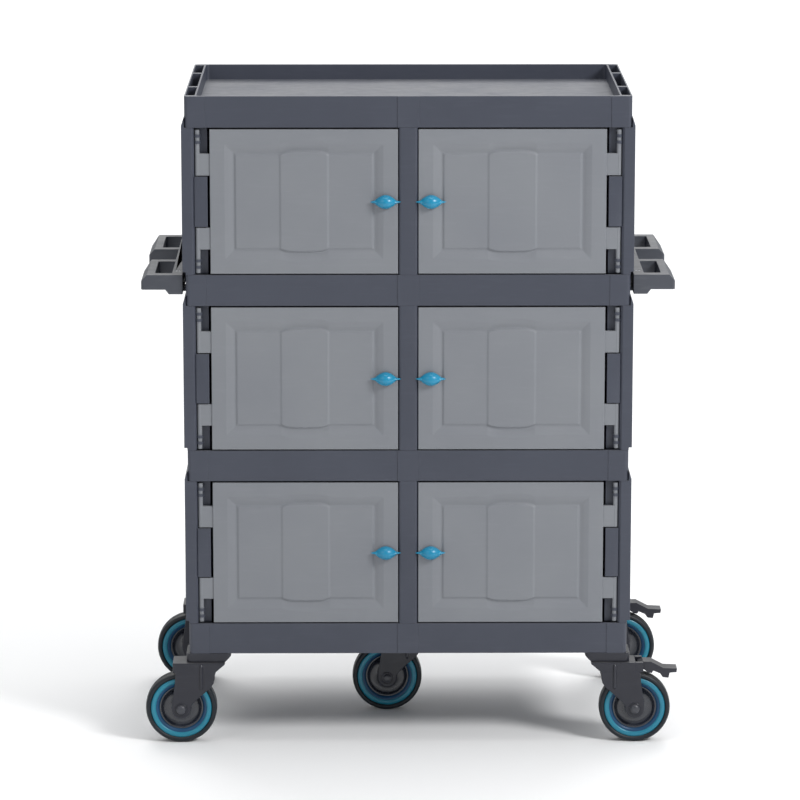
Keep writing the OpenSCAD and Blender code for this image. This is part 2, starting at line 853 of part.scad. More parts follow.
// Wheel parts are turned about the axle
module turned(c) {
    at_castor(c) translate([trail, 0, wheel_r]) rotate([90, 0, 0]) rotate_extrude($fn = 96) children();
}

ring_out = wheel_r - tyre_t;
hub_out = ring_out - ring_t;

module tyre(i) {
    shoulder = 5;
    color(tyre_colour) turned(CASTORS[i])
        polygon([
            [ring_out, -wheel_w / 2 + 2], [wheel_r - shoulder, -wheel_w / 2],
            [wheel_r - 1.5, -wheel_w / 2 + shoulder], [wheel_r, -wheel_w / 5],
            [wheel_r, wheel_w / 5], [wheel_r - 1.5, wheel_w / 2 - shoulder],
            [wheel_r - shoulder, wheel_w / 2], [ring_out, wheel_w / 2 - 2],
        ]);
}

module ring(i) {
    color(cyan_colour) turned(CASTORS[i])
        polygon([
            [hub_out, -wheel_w / 2 + 4], [hub_out + 2, -wheel_w / 2 + 1.5],
            [ring_out - 1, -wheel_w / 2 + 1.5], [ring_out, -wheel_w / 2 + 2],
            [ring_out, wheel_w / 2 - 2], [ring_out - 1, wheel_w / 2 - 1.5],
            [hub_out + 2, wheel_w / 2 - 1.5], [hub_out, wheel_w / 2 - 4],
        ]);
}

module hub(i) {
    bore = axle_d / 2 + run_gap;
    boss = axle_d / 2 + 9;
    rim = wheel_w / 2 - 4;
    dish = 4;
    color(castor_colour) turned(CASTORS[i])
        polygon([
            [bore, -wheel_w / 2 - 1], [boss, -wheel_w / 2 - 1], [boss + 3, -dish],
            [hub_out - 9, -dish - 2], [hub_out - 4, -rim - 0.5], [hub_out, -rim],
            [hub_out, rim], [hub_out - 4, rim + 0.5], [hub_out - 9, dish + 2],
            [boss + 3, dish], [boss, wheel_w / 2 + 1], [bore, wheel_w / 2 + 1],
        ]);
}

// Pedal of a wheel brake, on a pivot through the fork's crown
module brake_pedal(i) {
    low = pedal_z;
    tip = crown_out + pedal_l;
    color(handle_colour) at_castor(CASTORS[i]) {
        slab_y(-pedal_w / 2, pedal_w / 2)
            polygon([
                [pedal_x - 5, low - 5], [pedal_x - 5, low + 5], [pedal_x + 4, low + 8.5],
                [pedal_x + 18, low + 8.5], [tip - 24, low - 3], [tip, low - 4], [tip - 1, low - 11],
                [tip - 13, low - 12], [tip - 15, low - 21], [tip - 25, low - 20], [tip - 30, low - 13],
                [pedal_x + 22, low - 8], [pedal_x + 20, low - 12.5], [pedal_x + 13, low - 11.5],
                [pedal_x + 6, low - 6],
            ]);
        rod_y(pedal_x, low, pedal_pin_r, -fork_out + 3.5, fork_out - 3.5);
    }
}

module fork_front_right() { fork(0); }
module fork_rear_right() { fork(1); }
module fork_front_left() { fork(2); }
module fork_rear_left() { fork(3); }
module fork_centre() { fork(4); }
module axle_front_right() { axle(0); }
module axle_rear_right() { axle(1); }
module axle_front_left() { axle(2); }
module axle_rear_left() { axle(3); }
module axle_centre() { axle(4); }
module hub_front_right() { hub(0); }
module hub_rear_right() { hub(1); }
module hub_front_left() { hub(2); }
module hub_rear_left() { hub(3); }
module hub_centre() { hub(4); }
module tyre_front_right() { tyre(0); }
module tyre_rear_right() { tyre(1); }
module tyre_front_left() { tyre(2); }
module tyre_rear_left() { tyre(3); }
module tyre_centre() { tyre(4); }
module ring_front_right() { ring(0); }
module ring_rear_right() { ring(1); }
module ring_front_left() { ring(2); }
module ring_rear_left() { ring(3); }
module ring_centre() { ring(4); }
module brake_pedal_front_right() { brake_pedal(0); }
module brake_pedal_rear_right() { brake_pedal(1); }

base_tray();
lower_shelf();
upper_shelf();
top_tray();
side_panels_left();
side_panels_right();
back_panels();
centre_posts();
hinge_keepers();
push_handle_left();
push_handle_right();
handle_screws();
castor_blocks();
castor_block_screws();
kingpins();
door_top_left();
door_top_right();
door_middle_left();
door_middle_right();
door_bottom_left();
door_bottom_right();
latch_knob_top_left();
latch_knob_top_right();
latch_knob_middle_left();
latch_knob_middle_right();
latch_knob_bottom_left();
latch_knob_bottom_right();
latch_cam_top_left();
latch_cam_top_right();
latch_cam_middle_left();
latch_cam_middle_right();
latch_cam_bottom_left();
latch_cam_bottom_right();
fork_front_right();
fork_rear_right();
fork_front_left();
fork_rear_left();
fork_centre();
axle_front_right();
axle_rear_right();
axle_front_left();
axle_rear_left();
axle_centre();
hub_front_right();
hub_rear_right();
hub_front_left();
hub_rear_left();
hub_centre();
tyre_front_right();
tyre_rear_right();
tyre_front_left();
tyre_rear_left();
tyre_centre();
ring_front_right();
ring_rear_right();
ring_front_left();
ring_rear_left();
ring_centre();
brake_pedal_front_right();
brake_pedal_rear_right();
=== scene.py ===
"""Looks of a housekeeping cart: moulded trays and side panels, six cupboard doors with turn latches,
two push handles and five castors. Metres, in the cart's own frame: the doors face -Y and +Z is up."""

import json
import math

import bmesh
import bpy
from mathutils import Matrix, Vector


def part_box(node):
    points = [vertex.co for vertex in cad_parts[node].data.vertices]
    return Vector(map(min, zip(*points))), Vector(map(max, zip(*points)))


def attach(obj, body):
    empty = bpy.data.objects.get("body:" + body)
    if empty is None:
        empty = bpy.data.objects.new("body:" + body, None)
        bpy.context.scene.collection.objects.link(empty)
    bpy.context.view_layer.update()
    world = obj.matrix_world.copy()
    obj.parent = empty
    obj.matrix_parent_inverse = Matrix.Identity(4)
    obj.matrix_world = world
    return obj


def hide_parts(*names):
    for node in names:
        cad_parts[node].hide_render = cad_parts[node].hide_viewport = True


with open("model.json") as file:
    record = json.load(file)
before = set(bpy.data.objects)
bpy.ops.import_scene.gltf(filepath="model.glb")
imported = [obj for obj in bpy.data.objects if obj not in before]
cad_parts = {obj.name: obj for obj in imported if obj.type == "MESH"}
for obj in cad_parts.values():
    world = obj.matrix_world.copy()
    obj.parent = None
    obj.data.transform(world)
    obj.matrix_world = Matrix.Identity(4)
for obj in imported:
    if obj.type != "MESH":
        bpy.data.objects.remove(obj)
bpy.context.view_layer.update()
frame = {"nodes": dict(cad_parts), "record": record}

MM = 0.001
ROWS = ("top", "middle", "bottom")
SIDES = {"left": -1, "right": 1}
CASTORS = ("front_right", "rear_right", "front_left", "rear_left", "centre")
BRAKED = ("front_right", "rear_right")
# Where each castor's swivel stands, in metres
SWIVELS = {j["child"].removeprefix("castor_"): j["pos_m"] for j in frame["record"]["behaviour"]["joints"]
           if j["name"].endswith("_swivel")}


# ---------- camera, floor and studio light ----------

SENSOR, LENS = 36, 187.2
CAMERA_PLACE = (-0.059, -7.27, 2.061)
LOOKS_DOWN, LOOKS_RIGHT = 11.6, 0.365
WORLD_LIGHT = 0.46
# Name, place, the point it aims at, diameter and power
SOFTBOXES = (
    ("key_light", (3.0, -2.7, 3.3), (0, 0, 1.0), 1.4, 146),
    ("fill_light", (-3.2, -3.6, 3.4), (0, 0, 0.9), 3.0, 30),
    ("top_light", (0.2, 0.3, 4.2), (0, 0, 0.9), 3.0, 60),
    ("backdrop_light", (0, 8.5, 7.5), (0, 8.0, 0), 11, 780),
)


def stand_camera():
    data = bpy.data.cameras.new("long_lens")
    data.sensor_width = SENSOR
    data.lens = LENS
    data.clip_end = 200
    camera = bpy.data.objects.new("long_lens", data)
    camera.location = CAMERA_PLACE
    camera.rotation_euler = (math.radians(90 - LOOKS_DOWN), 0, math.radians(-LOOKS_RIGHT))
    bpy.context.collection.objects.link(camera)
    bpy.context.scene.camera = camera


def softbox(name, place, aim, size, power):
    data = bpy.data.lights.new(name, "AREA")
    data.shape = "DISK"
    data.size = size
    data.energy = power
    light = bpy.data.objects.new(name, data)
    light.location = place
    light.rotation_euler = (Vector(aim) - Vector(place)).to_track_quat("-Z", "Y").to_euler()
    bpy.context.collection.objects.link(light)


def light_studio():
    world = bpy.data.worlds.new("studio")
    world.use_nodes = True
    background = world.node_tree.nodes["Background"]
    background.inputs["Color"].default_value = (0.97, 0.985, 1, 1)
    background.inputs["Strength"].default_value = WORLD_LIGHT
    bpy.context.scene.world = world
    for box in SOFTBOXES:
        softbox(*box)
    bpy.context.scene.view_settings.view_transform = "Standard"


# ---------- surface effects shared by the materials ----------

def effect(name, inputs, outputs):
    """An empty shader node group with these inputs and outputs, and its two end nodes."""
    group = bpy.data.node_groups.new(name, "ShaderNodeTree")
    for label, value in inputs:
        group.interface.new_socket(label, in_out="INPUT", socket_type="NodeSocketFloat").default_value = value
    for label in outputs:
        group.interface.new_socket(label, in_out="OUTPUT", socket_type="NodeSocketFloat")
    return group, group.nodes.new("NodeGroupInput"), group.nodes.new("NodeGroupOutput")


def add(tree, kind, **settings):
    node = tree.nodes.new(kind)
    for key, value in settings.items():
        setattr(node, key, value)
    return node


def calc(tree, operation, a, b=None, clamp=False):
    """A Math node; a and b are numbers or outputs of other nodes."""
    node = add(tree, "ShaderNodeMath", operation=operation, use_clamp=clamp)
    for socket, value in zip(node.inputs, (a, b)):
        if isinstance(value, (int, float)):
            socket.default_value = value
        elif value is not None:
            tree.links.new(value, socket)
    return node.outputs[0]


def spread(tree, value, low, high, to_low=0.0, to_high=1.0):
    node = add(tree, "ShaderNodeMapRange", clamp=True)
    tree.links.new(value, node.inputs["Value"])
    for label, number in (("From Min", low), ("From Max", high), ("To Min", to_low), ("To Max", to_high)):
        node.inputs[label].default_value = number
    return node.outputs[0]


def noise(tree, scale, detail=2.0, stretch=None):
    """Noise on Object coordinates. scale is a number of cells per metre, or an output that holds it."""
    where = add(tree, "ShaderNodeTexCoord").outputs["Object"]
    if stretch:
        turn = add(tree, "ShaderNodeMapping")
        turn.inputs["Scale"].default_value = stretch
        tree.links.new(where, turn.inputs["Vector"])
        where = turn.outputs[0]
    node = add(tree, "ShaderNodeTexNoise")
    node.inputs["Detail"].default_value = detail
    tree.links.new(where, node.inputs["Vector"])
    if isinstance(scale, (int, float)):
        node.inputs["Scale"].default_value = scale
    else:
        tree.links.new(scale, node.inputs["Scale"])
    return node.outputs[0]


def make_grain():
    """Fine pebbled texture of a moulding, as a height, with a slow drift of its shade and a patchy gloss."""
    inputs = [("Pebbles per metre", 900.0), ("Drift per metre", 6.0)]
    group, given, made = effect("Moulded grain", inputs, ["Height", "Drift", "Gloss"])
    where = add(group, "ShaderNodeTexCoord").outputs["Object"]
    pebbles = add(group, "ShaderNodeTexVoronoi", feature="SMOOTH_F1")
    group.links.new(where, pebbles.inputs["Vector"])
    group.links.new(given.outputs["Pebbles per metre"], pebbles.inputs["Scale"])
    fine = noise(group, calc(group, "MULTIPLY", given.outputs["Pebbles per metre"], 2.3), 3.0)
    height = calc(group, "ADD", pebbles.outputs["Distance"], calc(group, "MULTIPLY", fine, 0.5))
    group.links.new(height, made.inputs["Height"])
    drift = noise(group, given.outputs["Drift per metre"], 4.0)
    group.links.new(spread(group, drift, 0.3, 0.7), made.inputs["Drift"])
    rub = noise(group, calc(group, "MULTIPLY", given.outputs["Drift per metre"], 7.0), 5.0)
    group.links.new(spread(group, rub, 0.35, 0.7), made.inputs["Gloss"])
    return group


def make_wear():
    """Where use has rubbed the edges: 1 on an edge, 0 on a flat face."""
    group, given, made = effect("Edge wear", [("Width", 0.002), ("Amount", 1.0)], ["Mask"])
    rounded = add(group, "ShaderNodeBevel", samples=4)
    group.links.new(given.outputs["Width"], rounded.inputs["Radius"])
    flat = add(group, "ShaderNodeNewGeometry")
    turned = add(group, "ShaderNodeVectorMath", operation="DOT_PRODUCT")
    group.links.new(rounded.outputs[0], turned.inputs[0])
    group.links.new(flat.outputs["Normal"], turned.inputs[1])
    edge = spread(group, calc(group, "SUBTRACT", 1.0, turned.outputs["Value"]), 0.02, 0.22)
    broken = spread(group, noise(group, 55.0, 5.0), 0.36, 0.62)
    mask = calc(group, "MULTIPLY", calc(group, "MULTIPLY", edge, broken), given.outputs["Amount"], clamp=True)
    group.links.new(mask, made.inputs["Mask"])
    return group


def make_dust():
    """Dust that has settled on upward faces: 1 where it is thick."""
    group, given, made = effect("Settled dust", [("Amount", 0.3)], ["Mask"])
    facing = add(group, "ShaderNodeSeparateXYZ")
    group.links.new(add(group, "ShaderNodeNewGeometry").outputs["Normal"], facing.inputs[0])
    upward = spread(group, facing.outputs["Z"], 0.55, 0.98)
    patches = spread(group, noise(group, 14.0, 6.0), 0.3, 0.75, 0.35, 1.0)
    settled = calc(group, "MULTIPLY", upward, patches)
    mask = calc(group, "MULTIPLY", settled, given.outputs["Amount"], clamp=True)
    group.links.new(mask, made.inputs["Mask"])
    return group


def make_scuffs():
    """Fine sweeping scuffs from cloths and hands: 1 on a scuff."""
    group, given, made = effect("Wipe marks", [("Amount", 0.3)], ["Mask"])
    along = noise(group, 60.0, 6.0, stretch=(0.35, 1.0, 3.2))
    lines = spread(group, along, 0.56, 0.66)
    group.links.new(calc(group, "MULTIPLY", lines, given.outputs["Amount"], clamp=True), made.inputs["Mask"])
    return group


GRAIN, WEAR, DUST, SCUFFS = make_grain(), make_wear(), make_dust(), make_scuffs()


# ---------- materials ----------

DUST_TONE = (176, 174, 168)
GRAIN_STRENGTH = 0.6
# How far the roughness moves with a patchy gloss, settled dust and rubbed edges
GLOSS_SWING, DUST_MATT, EDGE_POLISH = 0.10, 0.25, 0.12


def shade(red, green, blue):
    """A colour given as 0 to 255, as the linear colour that a shader takes."""
    return [((c / 255 + 0.055) / 1.055) ** 2.4 if c > 10 else c / 255 / 12.92
            for c in (red, green, blue)] + [1]


def place(tree, group, **values):
    node = add(tree, "ShaderNodeGroup", node_tree=group)
    for label, value in values.items():
        node.inputs[label.replace("_", " ")].default_value = value
    return node


def blend_colour(tree, factor, a, b, mode="MIX"):
    node = add(tree, "ShaderNodeMix", data_type="RGBA", blend_type=mode)
    for label, value in ((0, factor), (6, a), (7, b)):
        if hasattr(value, "is_output"):
            tree.links.new(value, node.inputs[label])
        else:
            node.inputs[label].default_value = value
    return node.outputs[2]


def moulded(name, colour, deep, worn, rough, pebbles, bump, wear, dust, scuffs, drift=6.0, specular=0.5,
            coat=0.0, worn_width=0.0016, metallic=0.0):
    """A finish: its shade drifts from colour to deep, with worn edges, settled dust, wipe marks and a grain.
    pebbles is a number per metre and drift too; bump and worn_width are in metres."""
    material = bpy.data.materials.new(name)
    material.use_nodes = True
    tree = material.node_tree
    surface = tree.nodes["Principled BSDF"]
    grain = place(tree, GRAIN, Pebbles_per_metre=pebbles, Drift_per_metre=drift)
    edges = place(tree, WEAR, Width=worn_width, Amount=wear)
    settled = place(tree, DUST, Amount=dust)
    wiped = place(tree, SCUFFS, Amount=scuffs)
    tone = blend_colour(tree, grain.outputs["Drift"], shade(*colour), shade(*deep))
    tone = blend_colour(tree, edges.outputs["Mask"], tone, shade(*worn))
    tone = blend_colour(tree, wiped.outputs["Mask"], tone, shade(*worn))
    tone = blend_colour(tree, settled.outputs["Mask"], tone, shade(*DUST_TONE))
    tree.links.new(tone, surface.inputs["Base Color"])
    patchy = calc(tree, "MULTIPLY", grain.outputs["Gloss"], GLOSS_SWING)
    matt = calc(tree, "ADD", patchy, rough - GLOSS_SWING / 2)
    matt = calc(tree, "ADD", matt, calc(tree, "MULTIPLY", settled.outputs["Mask"], DUST_MATT))
    polished = calc(tree, "MULTIPLY", edges.outputs["Mask"], EDGE_POLISH)
    matt = calc(tree, "SUBTRACT", matt, polished, clamp=True)
    tree.links.new(matt, surface.inputs["Roughness"])
    relief = add(tree, "ShaderNodeBump")
    relief.inputs["Strength"].default_value = GRAIN_STRENGTH
    relief.inputs["Distance"].default_value = bump
    tree.links.new(grain.outputs["Height"], relief.inputs["Height"])
    tree.links.new(relief.outputs[0], surface.inputs["Normal"])
    surface.inputs["Metallic"].default_value = metallic
    surface.inputs["Specular IOR Level"].default_value = specular
    surface.inputs["Coat Weight"].default_value = coat
    surface.inputs["Coat Roughness"].default_value = 0.25
    return material


BODY = moulded("Body plastic, slate", (62, 66, 78), (57, 61, 73), (92, 96, 108),
               0.50, 950.0, 0.00010, 0.35, 0.16, 0.05)
DOOR = moulded("Door plastic, light grey", (123, 126, 131), (118, 121, 127), (146, 149, 154),
               0.52, 1050.0, 0.00009, 0.30, 0.10, 0.04)
HANDLE = moulded("Handle plastic, charcoal", (67, 70, 78), (61, 64, 72), (108, 110, 116),
                 0.44, 800.0, 0.00012, 0.45, 0.20, 0.10)
CASTOR = moulded("Castor plastic, dark grey", (24, 26, 38), (20, 22, 34), (66, 69, 82),
                 0.36, 1100.0, 0.00006, 0.45, 0.15, 0.06, specular=0.55)
HUB = moulded("Hub plastic, glossy grey", (34, 38, 48), (28, 32, 43), (76, 80, 92),
              0.24, 1100.0, 0.00004, 0.40, 0.10, 0.06, specular=0.7, coat=0.3)
LATCH = moulded("Latch plastic, cyan", (1, 134, 172), (1, 126, 164), (60, 182, 210),
                0.34, 1500.0, 0.00003, 0.25, 0.04, 0.03, coat=0.25)
RING = moulded("Ring plastic, cyan", (16, 124, 148), (10, 114, 140), (76, 168, 186),
               0.36, 1400.0, 0.00003, 0.25, 0.08, 0.05, coat=0.2)
# The ring's inner slope: a darker copy of the ring's cyan plastic, deep blue as painted shade where the slope
# turns away from the light
RING_PAINTED_SHADE = moulded("Ring lip, cyan in painted shade", (2, 66, 104), (1, 56, 92), (40, 104, 134),
              0.42, 1400.0, 0.00003, 0.20, 0.05, 0.04)
TYRE = moulded("Tyre rubber, navy", (1, 16, 28), (1, 12, 22), (30, 48, 60),
               0.50, 1300.0, 0.00010, 0.40, 0.20, 0.10, drift=18.0)
BOLT = moulded("Bolt, blackened steel", (52, 54, 62), (44, 46, 54), (120, 122, 128),
               0.36, 1500.0, 0.00003, 0.40, 0.10, 0.08, specular=0.7)
STEEL = moulded("Zinc plated steel", (178, 180, 184), (158, 160, 166), (206, 208, 210),
                0.34, 1600.0, 0.00002, 0.40, 0.10, 0.10, metallic=1.0)


# ---------- making pieces ----------

SHARP = 32  # faces that meet at more than this many degrees have an edge to round


def finish_piece(bm, name, body, material, nodes, edge=0.0, segments=2, smooth=SHARP, clamp=False):
    """Puts a mesh on its body as a piece. Faces that meet at less than smooth degrees are shaded as one; edge
    is how much the sharp edges are rounded."""
    mesh = bpy.data.meshes.new(name)
    bm.to_mesh(mesh)
    bm.free()
    mesh.materials.append(material)
    mesh.shade_smooth()
    mesh.set_sharp_from_angle(angle=math.radians(smooth))
    piece = bpy.data.objects.new(name, mesh)
    bpy.context.collection.objects.link(piece)
    if edge:
        rounding = piece.modifiers.new("rounded_edges", "BEVEL")
        rounding.width = edge
        rounding.segments = segments
        rounding.limit_method = "ANGLE"
        rounding.angle_limit = math.radians(SHARP)
        rounding.use_clamp_overlap = clamp
        rounding.harden_normals = True
    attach(piece, body)
    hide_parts(*nodes)
    return piece


def cad_copy(node):
    """A copy of a CAD node's mesh with its triangles merged into flat faces."""
    bm = bmesh.new()
    bm.from_mesh(frame["nodes"][node].data)
    bmesh.ops.remove_doubles(bm, verts=bm.verts, dist=0.00002)
    bmesh.ops.dissolve_limit(bm, angle_limit=math.radians(0.8), verts=bm.verts, edges=bm.edges)
    return bm


def add_box(bm, low, high):
    """A box between two corners, added to bm."""
    made = bmesh.ops.create_cube(bm, size=1)["verts"]
    low, high = Vector(low), Vector(high)
    for v in made:
        v.co = Vector(low[i] + (v.co[i] + 0.5) * (high[i] - low[i]) for i in range(3))


def add_rod(bm, centre, radius, low, high, axis="Z", segments=32, end_radius=None):
    """A rod round an axis through centre, from low to high along that axis."""
    end_radius = radius if end_radius is None else end_radius
    made = bmesh.ops.create_cone(bm, cap_ends=True, segments=segments, radius1=radius, radius2=end_radius,
                                 depth=high - low)["verts"]
    turn = Matrix.Rotation(math.radians(90), 3, "X") if axis == "Y" else Matrix.Identity(3)
    middle = Vector(centre)
    middle["XYZ".index(axis)] = (low + high) / 2
    for v in made:
        v.co = turn @ v.co + middle


def add_turned(bm, centre, profile, steps=96):
    """Turns a closed outline of (radius, y) in millimetres about a wheel's axle."""
    verts = [bm.verts.new((r * MM, y * MM, 0)) for r, y in profile]
    edges = [bm.edges.new((verts[i], verts[(i + 1) % len(verts)])) for i in range(len(verts))]
    bmesh.ops.spin(bm, geom=verts + edges, cent=(0, 0, 0), axis=(0, 1, 0), angle=2 * math.pi, steps=steps,
                   use_merge=True, use_duplicate=False)
    bmesh.ops.remove_doubles(bm, verts=bm.verts, dist=0.00001)
    bmesh.ops.translate(bm, verts=bm.verts, vec=centre)
    bmesh.ops.recalc_face_normals(bm, faces=bm.faces)


def middle_of(node):
    low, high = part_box(node)
    return (Vector(low) + Vector(high)) / 2


# ---------- body of the cart ----------

def make_body():
    for node, edge in (
        ("base_tray", 0.7), ("lower_shelf", 0.7), ("upper_shelf", 0.7), ("top_tray", 0.7),
        ("side_panels_left", 0.9), ("side_panels_right", 0.9), ("back_panels", 0.6),
        ("centre_posts", 0.8), ("hinge_keepers", 0.3),
    ):
        finish_piece(cad_copy(node), node + "_moulding", "cart", BODY, [node], edge * MM,
                     smooth=6)
    for node in ("push_handle_left", "push_handle_right"):
        finish_piece(cad_copy(node), node + "_grip", "cart", HANDLE, [node], 1.1 * MM, 3)
    finish_piece(cad_copy("castor_blocks"), "castor_mounting_blocks", "cart", CASTOR,
                 ["castor_blocks"], 1 * MM, clamp=True)


# ---------- doors ----------

# A door's face, in millimetres
DOOR_W, DOOR_H = 322.0, 250.0
BORDER, SLOPE, GROOVE_H, GROOVE_W = 25.0, 15.0, 4.6, 5.0
THIRD = 41.0  # half the width of the raised middle third
ARCH = 5.0  # how far the middle third bows past the others
SHOULDER = 3.0  # width of the step beside it
FIELD_RISE, THIRD_RISE = 2.0, 1.6
SKIN = 5.0  # depth of the face piece, with the CAD shape behind it
RIM_ROUND = 1.1  # how much the face's outer edge is rounded
# Its hinge: the pin's place past the face's edge, its Y and its radius, then the length of a pin's end
# and the height and thickness of an arm
PIN_PAST, PIN_Y, PIN_R = 21.1, -218.5, 4.0
PIN_L, ARM_H, ARM_T = 42.0, 38.0, 7.0


def ease(t):
    """A smooth step from 0 to 1."""
    t = max(0.0, min(1.0, t))
    return t * t * (3 - 2 * t)


def door_relief(across, up):
    """How far a door's face lies behind its border, in millimetres, at a place on it."""
    off = abs(across - DOOR_W / 2)
    arch = ARCH * max(0.0, 1 - (off / THIRD) ** 4)
    inside = BORDER + SLOPE
    edge = min(DOOR_W / 2 - off - inside, up - inside + arch, DOOR_H - inside + arch - up)
    if edge < 0:
        fall = max(0.0, 1 + edge / SLOPE)
        return GROOVE_H * (0.7 * min(1.0, fall * 1.15) + 0.3 * fall ** 4)
    field = ease((edge - GROOVE_W * 0.3) / (GROOVE_W * 0.6))
    third = ease((THIRD + SHOULDER / 2 - off) / SHOULDER)
    return GROOVE_H - field * (FIELD_RISE + THIRD_RISE * third)


def make_door(row, side):
    node = f"door_{row}_{side}"
    low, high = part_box(node)
    sign = SIDES[side]
    free_edge = min(abs(low.x), abs(high.x))
    hinge_edge = free_edge + DOOR_W * MM
    pin = hinge_edge + PIN_PAST * MM
    left = free_edge if sign > 0 else -hinge_edge
    front, cut = low.y, low.y + SKIN * MM

    skin = bmesh.new()
    bmesh.ops.create_grid(skin, x_segments=230, y_segments=179, size=0.5)
    for v in skin.verts:
        across, up = (v.co.x + 0.5) * DOOR_W, (v.co.y + 0.5) * DOOR_H
        v.co = (left + across * MM, front + door_relief(across, up) * MM, low.z + up * MM)
    rim = [e for e in skin.edges if e.is_boundary]
    pulled = bmesh.ops.extrude_edge_only(skin, edges=rim)["geom"]
    sides = [e for e in pulled if isinstance(e, bmesh.types.BMEdge) and e.is_boundary]
    for v in {v for e in sides for v in e.verts}:
        v.co.y = cut
    bmesh.ops.contextual_create(skin, geom=sides)
    bmesh.ops.bevel(skin, geom=[e for e in skin.edges if e.is_valid and not e.is_boundary
                                and all(abs(v.co.y - front) < 0.1 * MM for v in e.verts)
                                and e.calc_face_angle(0) > 1.2],
                    affect="EDGES", offset=RIM_ROUND * MM, segments=3, profile=0.5, material=-1)
    finish_piece(skin, node + "_face", node, DOOR, [node], smooth=50)

    back = cad_copy(node)
    for point, normal in (((sign * hinge_edge, 0, 0), (-sign, 0, 0)), ((0, cut, 0), (0, 1, 0))):
        kept = bmesh.ops.bisect_plane(back, geom=back.verts[:] + back.edges[:] + back.faces[:], dist=0.00001,
                                      plane_co=point, plane_no=normal, clear_inner=True)
        cut_edges = [g for g in kept["geom_cut"] if isinstance(g, bmesh.types.BMEdge) and g.is_boundary]
        if cut_edges:
            bmesh.ops.triangle_fill(back, use_beauty=True, use_dissolve=False, edges=cut_edges)
    finish_piece(back, node + "_back", node, DOOR, [node])

    hinge = bmesh.new()
    axis = (sign * pin, PIN_Y * MM, 0)
    ends = sorted((sign * (hinge_edge - 2 * MM), sign * pin))
    half_t = ARM_T / 2 * MM
    for start in (low.z + PIN_L * MM, high.z - (PIN_L + ARM_H) * MM):
        add_box(hinge, (ends[0], axis[1] - half_t, start), (ends[1], axis[1] + half_t, start + ARM_H * MM))
        add_rod(hinge, axis, PIN_R * MM, start, start + ARM_H * MM)
    for start in (low.z + 1 * MM, high.z - 1 * MM - PIN_L * MM):
        add_rod(hinge, axis, PIN_R * MM, start, start + PIN_L * MM)
    finish_piece(hinge, node + "_hinge_arms", node, DOOR, [node], 0.8 * MM)


# ---------- latches ----------

def add_lens(bm, centre, half_length, half_height, front_depth, back_depth):
    """A pointed oval cushion, long along X, deeper at its front."""
    made = bmesh.ops.create_uvsphere(bm, u_segments=48, v_segments=32, radius=1)["verts"]
    for v in made:
        along = max(-1.0, min(1.0, v.co.z))
        thin = math.sqrt(max(0.0, 1 - along * along))
        depth = front_depth if v.co.y < 0 else back_depth
        v.co = Vector((along * half_length, v.co.y * thin * depth, v.co.x * thin * half_height)) + centre


LATCH_FACE = -226  # Y of the plane where a knob is widest
COLLAR_R, SHAFT_R = 9, 5
# Half length, half height, depth to the front and depth to the back of a knob's body and of its points
KNOB_BODY, KNOB_POINTS = (20.5, 12, 13.8, 1.5), (27, 5, 9, 1.2)


def make_latch(row, side):
    node = f"latch_knob_{row}_{side}"
    low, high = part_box(node)
    face = LATCH_FACE * MM
    centre = Vector(((low.x + high.x) / 2, face, (low.z + high.z) / 2))
    knob = bmesh.new()
    add_rod(knob, centre, COLLAR_R * MM, face, face + 1.7 * MM, "Y", 48)
    add_rod(knob, centre, SHAFT_R * MM, face + 1.6 * MM, high.y, "Y", 32)
    for shape in (KNOB_BODY, KNOB_POINTS):
        add_lens(knob, centre, *(size * MM for size in shape))
    bmesh.ops.recalc_face_normals(knob, faces=knob.faces)
    finish_piece(knob, node + "_turn", f"latch_{row}_{side}", LATCH, [node], smooth=60)


# ---------- castors ----------

def both_sides(half):
    """Closes an outline of (radius, y) with its mirror image on the wheel's other side."""
    return half + [(r, -y) for r, y in reversed(half)]


# Half sections of a wheel's parts as (radius, y) from its middle, and outlines of a fork as (x, z) from its
# swivel's axis and the floor, with the wheel towards +X
TYRE_HALF = [(53.4, -12.6), (54.2, -14.4), (55.6, -15.5), (57.6, -15.9), (59.4, -15.5), (60.9, -14.2),
             (61.8, -12.0), (62.3, -9.2), (62.4, -6.2), (61.6, -5.9), (61.6, -5.2), (62.5, -4.9),
             (62.5, -1.6), (61.9, -1.3)]
RING_HALF = [(44.4, -10.0), (44.5, -12.8), (45.3, -13.8), (46.8, -14.4), (48.8, -14.7), (50.8, -14.5),
             (52.4, -13.9), (53.3, -13.0), (53.5, -11.8)]
LIP_HALF = [(38.4, -7.0), (38.6, -9.0), (39.4, -10.2), (41.0, -11.4), (43.0, -12.3), (44.5, -12.6),
            (44.6, -10.0)]
HUB_HALF = [(5.05, -16.6), (5.6, -17.0), (11.6, -17.0), (12.8, -16.6), (13.6, -15.4), (14.4, -12.0),
            (15.6, -8.4), (17.6, -6.2), (20.6, -5.0), (24.0, -4.5), (27.5, -4.6), (30.8, -5.4),
            (33.2, -6.8), (35.0, -8.6), (36.6, -9.6), (38.2, -9.4), (38.5, -7.0)]
BOLT_HALF = [(0.0, -31.45), (3.0, -31.3), (5.6, -30.6), (7.4, -29.2), (8.0, -27.8), (7.8, -27.3),
             (5.0, -27.2)]
AXLE = Vector((36, 62.5))
CHEEK_LEFT = [(-24, 131), (-23.6, 118), (-21.4, 109.5), (-15.5, 101), (-5, 92), (6, 82), (14.5, 73),
              (19, 66.5)]
CHEEK_RIGHT = [(52.5, 63), (51.4, 78), (48.6, 95), (46.4, 112), (45, 131)]
CROWN_LOW, CROWN_TOP = 129, 146.5
CROWN_SIDE = [(-42, CROWN_TOP), (-41, 143.5), (-24, CROWN_LOW), (50, CROWN_LOW), (50, CROWN_TOP)]
CHEEK_IN, CHEEK_OUT, BOSS_OUT = 18, 26, 27.4
FOOT_R, BOSS_R = 16.5, 11
SLOT_START, SLOT_HALF = 37, 15.6  # the pedal's slot in a braked fork's crown
RIB_R, RIB_TIP_R, RIB_END_R = 3.2, 1.2, 1.8
RIB_Y = 25.4
